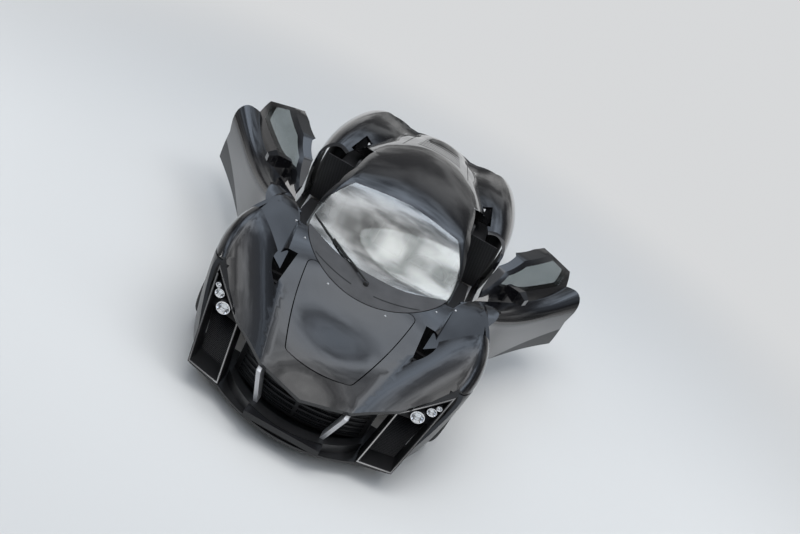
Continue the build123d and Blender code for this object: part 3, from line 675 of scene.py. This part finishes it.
# Panel bolts: six small bright round-headed steel screws, four along the cowl and two in the lid.
# Each is turned about its own axis and set on the panel below it.
def rest_height(x, y, *names):
    """Height of the highest surface of these nodes at a place in plan."""
    heights = []
    for node_name in names:
        mesh = nodes[node_name].data
        surface = BVHTree.FromPolygons([v.co for v in mesh.vertices], [f.vertices for f in mesh.polygons])
        spot = surface.ray_cast(Vector((x, y, 3)), Vector((0, 0, -1)))[0]
        if spot:
            heights.append(spot.z)
    return max(heights)


bolt_metal = grained_finish("bolt_metal", (0.8, 0.8, 0.8), 0.3, metallic=1.0, patchy=0.05)
bolt_steps = [
    (-0.004, pole), (-0.004, 0.009), (0.001, 0.009), (0.0035, 0.0075),
    (0.005, 0.0045), (0.002, 0.004), (0.002, pole),
]
upward = Matrix.Rotation(-math.pi / 2, 4, "Y")
for place_name, x, y in (("fender", 0.675, -0.880), ("cowl", 0.548, -1.005), ("lid", 0.23, -1.284)):
    for flank, side in (("left", 1), ("right", -1)):
        bolt = turned(f"bolt_{place_name}_{flank}", bolt_steps, 20, bolt_metal)
        seat_z = rest_height(side * x, y, "front_clamshell", "front_lid", "cowl_panel")
        body = "front_lid" if place_name == "lid" else "car"
        set_down(bolt, Matrix.Translation((side * x, y, seat_z)) @ upward, body)

# Cowl: a matte grey moulding between lid and windscreen. The air slot on each side is not cut but painted
# shade:
# a thin near-black arc about a point of the centre line, painted on the moulding.
cowl_grey = grained_finish("cowl_grey", (0.045, 0.045, 0.047), 0.6, fine=900.0, bump=0.3)
cowl_tree = cowl_grey.node_tree
cowl_slot_y = -0.221
cowl_slot_radius = 0.955
cowl_slot_half_width = 0.006
cowl_slot_middle_x = 0.26
cowl_slot_half_length = 0.17
slot_mask = cowl_tree.nodes.new("ShaderNodeMath")
slot_mask.operation = "COMPARE"
slot_mask.inputs[1].default_value = cowl_slot_radius
slot_mask.inputs[2].default_value = cowl_slot_half_width
slot_place = cowl_tree.nodes.new("ShaderNodeTexCoord")
slot_split = cowl_tree.nodes.new("ShaderNodeSeparateXYZ")
slot_across = cowl_tree.nodes.new("ShaderNodeMath")
slot_across.operation = "ABSOLUTE"
slot_span = cowl_tree.nodes.new("ShaderNodeMath")
slot_span.operation = "COMPARE"
slot_span.inputs[1].default_value = cowl_slot_middle_x
slot_span.inputs[2].default_value = cowl_slot_half_length
slot_shade_mask = cowl_tree.nodes.new("ShaderNodeMath")
slot_shade_mask.operation = "MULTIPLY"
cowl_tree.links.new(plan_distance(cowl_tree, cowl_slot_y), slot_mask.inputs[0])
cowl_tree.links.new(slot_place.outputs["Object"], slot_split.inputs[0])
cowl_tree.links.new(slot_split.outputs["X"], slot_across.inputs[0])
cowl_tree.links.new(slot_across.outputs["Value"], slot_span.inputs[0])
cowl_tree.links.new(slot_mask.outputs["Value"], slot_shade_mask.inputs[0])
cowl_tree.links.new(slot_span.outputs["Value"], slot_shade_mask.inputs[1])
# Painted shade: the slots' openings are a near-black colour on the closed cowl surface; the same black is the
# windscreen's printed band.
print_and_shade_black = (0.002, 0.002, 0.002, 1)
recolour(cowl_tree, slot_shade_mask.outputs["Value"], print_and_shade_black)
dress(cowl_grey, "cowl_panel")


# Glass: tinted laminated windscreen with a black band printed round its foot, and tinted door windows.
# The screen's outer face mirrors the sky strongly, as raked glass does.
def tinted_glass(name, tint):
    """Clear tinted pane with faint ripples."""
    glass = grained_finish(name, tint, 0.02, fine=6.0, bump=0.004, patchy=0.03)
    shader = glass.node_tree.nodes["Principled BSDF"]
    shader.inputs["Transmission Weight"].default_value = 1.0
    shader.inputs["IOR"].default_value = 1.45
    return glass


screen_glass = tinted_glass("screen_glass", (0.42, 0.46, 0.46))
screen_tree = screen_glass.node_tree
foot_radius = 0.869
foot_y = -0.221
band_width = 0.035
band_blur = 0.004
band_mask = screen_tree.nodes.new("ShaderNodeMapRange")
band_mask.inputs["From Min"].default_value = foot_radius - band_width - band_blur
band_mask.inputs["From Max"].default_value = foot_radius - band_width
screen_tree.links.new(plan_distance(screen_tree, foot_y), band_mask.inputs["Value"])
recolour(screen_tree, band_mask.outputs["Result"], print_and_shade_black)
screen_shader = screen_tree.nodes["Principled BSDF"]
screen_shader.inputs["Coat Weight"].default_value = 1.0
screen_shader.inputs["Coat IOR"].default_value = 2.2
dress(screen_glass, "windscreen")
window_glass = tinted_glass("window_glass", (0.30, 0.33, 0.33))
dress(window_glass, "door_glass_left", "door_glass_right")

# Wiper: one long arm on a pivot at the middle of the cowl, parked across the foot of the windscreen.
# The rubber blade lies on the glass and the pressed arm stands over it.
wiper_black = grained_finish("wiper_black", (0.008, 0.008, 0.008), 0.4, fine=900.0)
pivot = Vector((0.0, -1.10))
tip = Vector((-0.592, -0.705))
path_steps = 10
for part_name, start, stop, lift, thick in (
    ("blade", 0.16, 1.0, 0.007, 0.006),
    ("arm", 0.0, 0.62, 0.020, 0.008),
):
    line = bpy.data.curves.new(f"wiper_{part_name}", "CURVE")
    line.dimensions = "3D"
    line.bevel_depth = thick
    line.bevel_resolution = 2
    line.use_fill_caps = True
    path = line.splines.new("POLY")
    path.points.add(path_steps)
    for step, point in enumerate(path.points):
        spot = pivot.lerp(tip, start + (stop - start) * step / path_steps)
        height = rest_height(spot.x, spot.y, "windscreen", "cowl_panel", "front_clamshell", "front_lid")
        point.co = (spot.x, spot.y, height + lift, 1)
    wiper_part = bpy.data.objects.new(f"wiper_{part_name}", line)
    scene.collection.objects.link(wiper_part)
    bpy.ops.object.select_all(action="DESELECT")
    bpy.context.view_layer.objects.active = wiper_part
    wiper_part.select_set(True)
    bpy.ops.object.convert(target="MESH")
    wiper_part = bpy.context.object
    bpy.ops.object.shade_smooth_by_angle(angle=math.radians(40))
    wiper_part.data.materials.append(wiper_black)
    wiper_part.select_set(False)
    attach(wiper_part, "car")
cap_steps = [
    (-0.004, pole), (-0.004, 0.022), (0.014, 0.020),
    (0.022, 0.014), (0.025, 0.003), (0.025, pole),
]
wiper_cap = turned("wiper_pivot", cap_steps, 28, wiper_black)
pivot_z = rest_height(pivot.x, pivot.y, "cowl_panel", "windscreen", "front_lid")
set_down(wiper_cap, Matrix.Translation((pivot.x, pivot.y, pivot_z)) @ upward, "car")

# Tail: round red plastic lamps in turned metal bezels on the dark panel, and two bright steel exhaust pipes.
# Each bezel is a ring that stands on the panel round its lamp.
red_lens = grained_finish("red_lens", (0.42, 0.012, 0.012), 0.12, fine=160.0, bump=0.3)
red_lens.node_tree.nodes["Principled BSDF"].inputs["Coat Weight"].default_value = 1.0
dress(red_lens, "tail_lamps")
pipe_steel = grained_finish(
    "pipe_steel", (0.5, 0.49, 0.48), 0.25, metallic=1.0, fine=500.0, bump=0.1, patchy=0.15
)
dress(pipe_steel, "exhaust")
lamp_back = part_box("tail_lamps")[1].y
tail_lamp_z = 0.655
bezel_steps = [
    (-0.024, 0.0545), (-0.024, 0.062), (-0.002, 0.060),
    (0.002, 0.057), (0.001, 0.0545), (-0.024, 0.0545),
]
bezel_metal = grained_finish("bezel_metal", (0.3, 0.3, 0.31), 0.25, metallic=1.0, patchy=0.08)
rearward = Matrix.Rotation(math.pi / 2, 4, "Z")
for count, lamp_x in enumerate((-0.690, -0.555, -0.420, 0.420, 0.555, 0.690)):
    bezel = turned(f"tail_bezel_{count + 1}", bezel_steps, 48, bezel_metal)
    set_down(bezel, Matrix.Translation((lamp_x, lamp_back, tail_lamp_z)) @ rearward, "car")

# Doors: gloss skins with a satin lower edge, a leather trim panel inside, and the mirror glass on each arm.
# They stand open at rest, so patterns are turned back to the shut door about its hinge.
joints = {joint["name"]: joint for joint in frame["joints"]}
trim_front_y, trim_back_y = -0.66, 0.40
trim_low_z, trim_high_z = 0.36, 0.66
trim_wall_x = 0.80
trim_lift = 0.001
cabin_x = 0.3
armrest_depth = 0.045
armrest_low_z, armrest_high_z = 0.48, 0.56
armrest_front_y, armrest_back_y = -0.30, 0.24
satin_slope = 0.22
satin_z = 0.40
satin_blur = 0.002
mirror_low_z = 0.85
mirror_border = 0.008
mirror_thickness = 0.002
for flank, side in (("left", 1), ("right", -1)):
    swing = joints[f"door_{flank}_swing"]
    hinge = Vector((*swing["pos_m"][:2], 0))
    open_angle = math.radians(swing["range_deg"][1])
    shut = Matrix.Rotation(side * open_angle, 3, "Z")
    door_paint = gloss.copy()
    door_paint.name = f"door_paint_{flank}"
    door_tree = door_paint.node_tree
    door_place = door_tree.nodes.new("ShaderNodeTexCoord")
    door_turn = door_tree.nodes.new("ShaderNodeMapping")
    door_turn.inputs["Rotation"].default_value = (0, 0, side * open_angle)
    door_turn.inputs["Location"].default_value = hinge - shut @ hinge
    door_split = door_tree.nodes.new("ShaderNodeSeparateXYZ")
    edge_line = door_tree.nodes.new("ShaderNodeMath")
    edge_line.operation = "MULTIPLY_ADD"
    edge_line.inputs[1].default_value = -satin_slope
    edge_mask = door_tree.nodes.new("ShaderNodeMapRange")
    edge_mask.inputs["From Min"].default_value = satin_z + satin_blur
    edge_mask.inputs["From Max"].default_value = satin_z - satin_blur
    coat = door_tree.nodes.new("ShaderNodeMapRange")
    coat.inputs["To Min"].default_value = 1.0
    coat.inputs["To Max"].default_value = 0.1
    door_tree.links.new(door_place.outputs["Object"], door_turn.inputs["Vector"])
    door_tree.links.new(door_turn.outputs["Vector"], door_split.inputs[0])
    door_tree.links.new(door_split.outputs["Y"], edge_line.inputs[0])
    door_tree.links.new(door_split.outputs["Z"], edge_line.inputs[2])
    door_tree.links.new(edge_line.outputs["Value"], edge_mask.inputs["Value"])
    door_tree.links.new(edge_mask.outputs["Result"], coat.inputs["Value"])
    door_tree.links.new(coat.outputs["Result"], door_tree.nodes["Principled BSDF"].inputs["Coat Weight"])
    door_skin = loose_copy(f"door_{flank}", f"door_{flank}_skin")
    bpy.ops.object.shade_smooth_by_angle(angle=math.radians(30))
    door_skin.data.materials.clear()
    door_skin.data.materials.append(door_paint)
    door_skin.select_set(False)
    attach(door_skin, f"door_{flank}")
    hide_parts(f"door_{flank}")
    shutting = Matrix.Translation(hinge) @ shut.to_4x4() @ Matrix.Translation(-hinge)
    door_mesh = nodes[f"door_{flank}"].data
    inside = BVHTree.FromPolygons(
        [shutting @ v.co for v in door_mesh.vertices], [f.vertices for f in door_mesh.polygons]
    )
    bpy.ops.object.select_all(action="DESELECT")
    bpy.ops.mesh.primitive_grid_add(x_subdivisions=26, y_subdivisions=8, size=2)
    trim = bpy.context.object
    trim.name = f"door_trim_{flank}"
    wall_x = side * trim_wall_x
    for point in trim.data.vertices:
        along = trim_front_y + (point.co.x + 1) / 2 * (trim_back_y - trim_front_y)
        height = trim_low_z + (point.co.y + 1) / 2 * (trim_high_z - trim_low_z)
        hit = inside.ray_cast(Vector((side * cabin_x, along, height)), Vector((side, 0, 0)))[0]
        wall_x = hit.x if hit else wall_x
        point.co = (wall_x - side * trim_lift, along, height)
    for face in trim.data.polygons:
        in_height = armrest_low_z < face.center.z < armrest_high_z
        in_length = armrest_front_y < face.center.y < armrest_back_y
        face.select = in_height and in_length
    bpy.ops.object.mode_set(mode="EDIT")
    bpy.ops.mesh.select_mode(type="FACE")
    bpy.ops.mesh.extrude_region_move(TRANSFORM_OT_translate={"value": (-side * armrest_depth, 0, 0)})
    bpy.ops.object.mode_set(mode="OBJECT")
    backing = trim.modifiers.new("backing", "SOLIDIFY")
    backing.thickness = 0.004
    backing.offset = 0
    rounding = trim.modifiers.new("rounding", "BEVEL")
    rounding.width = 0.0015
    rounding.segments = 2
    bpy.ops.object.modifier_apply(modifier="backing")
    bpy.ops.object.modifier_apply(modifier="rounding")
    bpy.ops.object.mode_set(mode="EDIT")
    bpy.ops.mesh.select_all(action="SELECT")
    bpy.ops.mesh.normals_make_consistent(inside=False)
    bpy.ops.object.mode_set(mode="OBJECT")
    bpy.ops.object.shade_smooth_by_angle(angle=math.radians(40))
    trim.select_set(False)
    trim.data.materials.append(soft_skin)
    set_down(trim, shutting.inverted(), f"door_{flank}")
    backward = shut.transposed() @ Vector((0, 1, 0))
    mirror_glass = plate_from(
        f"mirror_{flank}", f"mirror_glass_{flank}",
        lambda face: face.normal.dot(backward) > 0.9 and face.center.z > mirror_low_z,
        mirror_border, mirror_thickness, chrome,
    )
    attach(mirror_glass, f"door_{flank}")
